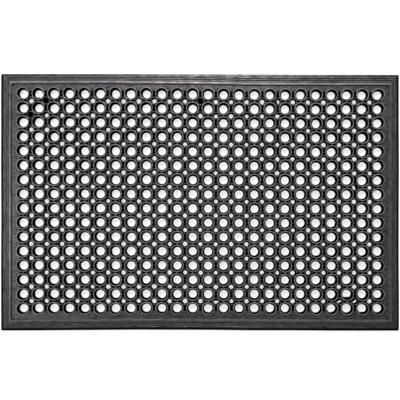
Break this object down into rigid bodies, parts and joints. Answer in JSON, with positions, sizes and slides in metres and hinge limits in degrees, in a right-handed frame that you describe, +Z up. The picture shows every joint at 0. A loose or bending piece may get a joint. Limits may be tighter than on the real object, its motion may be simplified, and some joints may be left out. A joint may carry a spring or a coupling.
{
  "type": "perforated rubber anti-fatigue mat",
  "caption": "Rectangular black rubber floor mat with a grid of raised drain rings and small drains, held off the floor by studs, inside a grooved bevelled border.",
  "frame": {"origin": "middle of the mat's footprint, on the floor", "axes": "+X along the long side, +Y along the short side, +Z up from the floor to the standing face"},
  "size_m": [0.914, 0.5904, 0.012],
  "materials": {
    "border_rubber": "matt moulded, lightly dusty",
    "field_rubber": "matt moulded, rims polished by wear"
  },
  "bodies": {
    "root": {"ramp_front": "border_rubber", "ramp_back": "border_rubber", "ramp_left": "border_rubber", "ramp_right": "border_rubber", "margin_front": "border_rubber", "margin_back": "border_rubber", "margin_left": "border_rubber", "margin_right": "border_rubber", "ring_row_01": "field_rubber", "ring_row_02": "field_rubber", "ring_row_03": "field_rubber", "ring_row_04": "field_rubber", "ring_row_05": "field_rubber", "ring_row_06": "field_rubber", "ring_row_07": "field_rubber", "ring_row_08": "field_rubber", "ring_row_09": "field_rubber", "ring_row_10": "field_rubber", "ring_row_11": "field_rubber", "ring_row_12": "field_rubber", "ring_row_13": "field_rubber", "ring_row_14": "field_rubber", "ring_row_15": "field_rubber", "ring_row_16": "field_rubber", "web_row_01": "field_rubber", "web_row_02": "field_rubber", "web_row_03": "field_rubber", "web_row_04": "field_rubber", "web_row_05": "field_rubber", "web_row_06": "field_rubber", "web_row_07": "field_rubber", "web_row_08": "field_rubber", "web_row_09": "field_rubber", "web_row_10": "field_rubber", "web_row_11": "field_rubber", "web_row_12": "field_rubber", "web_row_13": "field_rubber", "web_row_14": "field_rubber", "web_row_15": "field_rubber"}
  },
  "joints": []
}
